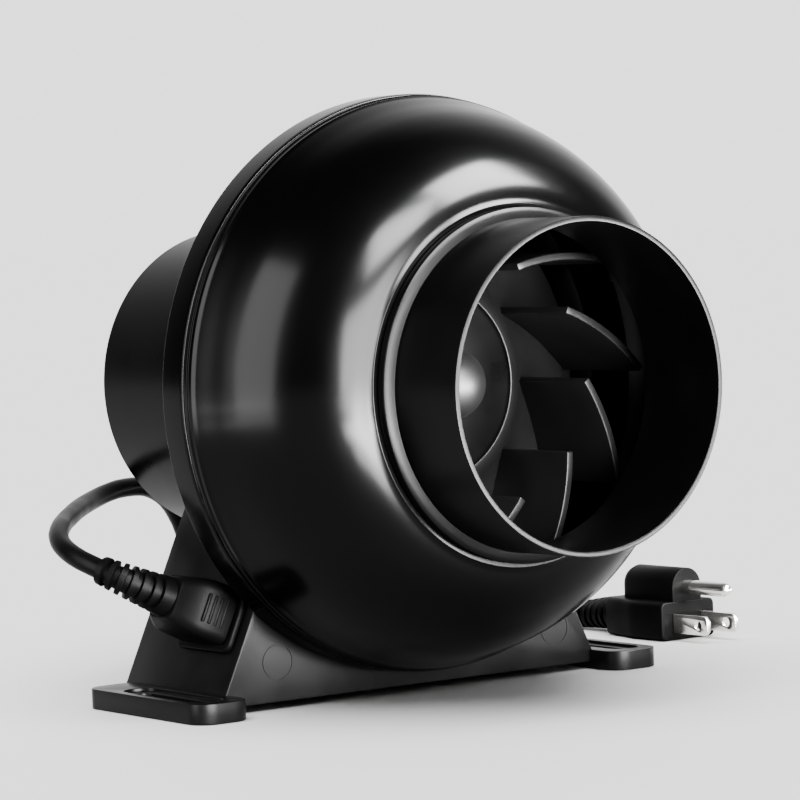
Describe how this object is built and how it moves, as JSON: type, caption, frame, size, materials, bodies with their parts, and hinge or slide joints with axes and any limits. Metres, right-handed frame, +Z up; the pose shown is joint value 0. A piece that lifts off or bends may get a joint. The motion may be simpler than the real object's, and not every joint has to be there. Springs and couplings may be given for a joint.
{
  "type": "inline duct fan",
  "caption": "Inline duct fan for 4 inch ducting: glossy black round casing with a spigot at each end, backward-curved impeller, external-rotor motor, slotted base and detachable mains lead.",
  "frame": {"origin": "on the floor, midway between the two duct mouths, under the fan axis", "axes": "+Y along the fan axis from the intake mouth to the outlet mouth, +X to the right seen from the intake, +Z up"},
  "size_m": [0.2534, 0.2394, 0.1834],
  "materials": {
    "casing": "high gloss black",
    "moulding": "satin black",
    "cord_jacket": "satin black PVC",
    "rubber": "matt black",
    "steel": "zinc plated",
    "rotor_paint": "black paint",
    "motor_aluminium": "die cast",
    "lamination": "laminated electrical steel",
    "copper": "enamelled copper wire",
    "plated_brass": "nickel plated",
    "nylon": "natural nylon",
    "capacitor_shell": "grey shell",
    "wire_brown": "brown insulation",
    "wire_blue": "blue insulation",
    "wire_green": "green insulation"
  },
  "bodies": {
    "base": {"base_bracket": "moulding", "base_cover": "moulding", "base_screw_1": "steel", "base_screw_2": "steel", "base_screw_3": "steel", "base_screw_4": "steel", "bearing_front": "steel", "bearing_rear": "steel", "capacitor": "capacitor_shell", "coil_tie": "rubber", "connector_body": "moulding", "connector_strain_relief": "moulding", "cord_coil": "cord_jacket", "cord_lower": "cord_jacket", "cord_upper": "cord_jacket", "cover_screw_1": "steel", "cover_screw_2": "steel", "cover_screw_3": "steel", "front_housing": "casing", "housing_gasket": "rubber", "housing_screw_1": "steel", "housing_screw_2": "steel", "housing_screw_3": "steel", "housing_screw_4": "steel", "housing_screw_5": "steel", "housing_screw_6": "steel", "iec_inlet": "moulding", "inlet_pin_earth": "plated_brass", "inlet_pin_line": "plated_brass", "inlet_pin_neutral": "plated_brass", "lead_grommet": "rubber", "motor_base": "motor_aluminium", "motor_lead": "cord_jacket", "motor_screw_1": "steel", "motor_screw_2": "steel", "motor_screw_3": "steel", "motor_screw_4": "steel", "motor_support": "moulding", "plug_blade_line": "plated_brass", "plug_blade_neutral": "plated_brass", "plug_body": "moulding", "plug_ground_pin": "plated_brass", "plug_strain_relief": "moulding", "rear_housing": "casing", "stator_core": "lamination", "stator_winding": "copper", "terminal_block": "nylon", "wire_earth": "wire_green", "wire_line": "wire_brown", "wire_neutral": "wire_blue"},
    "rotor": {"impeller": "moulding", "rotor_cup": "rotor_paint", "rotor_cage": "lamination", "motor_shaft": "steel", "shaft_circlip": "steel", "hub_cap": "casing"}
  },
  "joints": [
    {"name": "impeller_spin", "type": "hinge", "parent": "base", "child": "rotor", "pos_m": [0, 0, 0.09525], "axis": [0, -1, 0], "continuous": true}
  ]
}
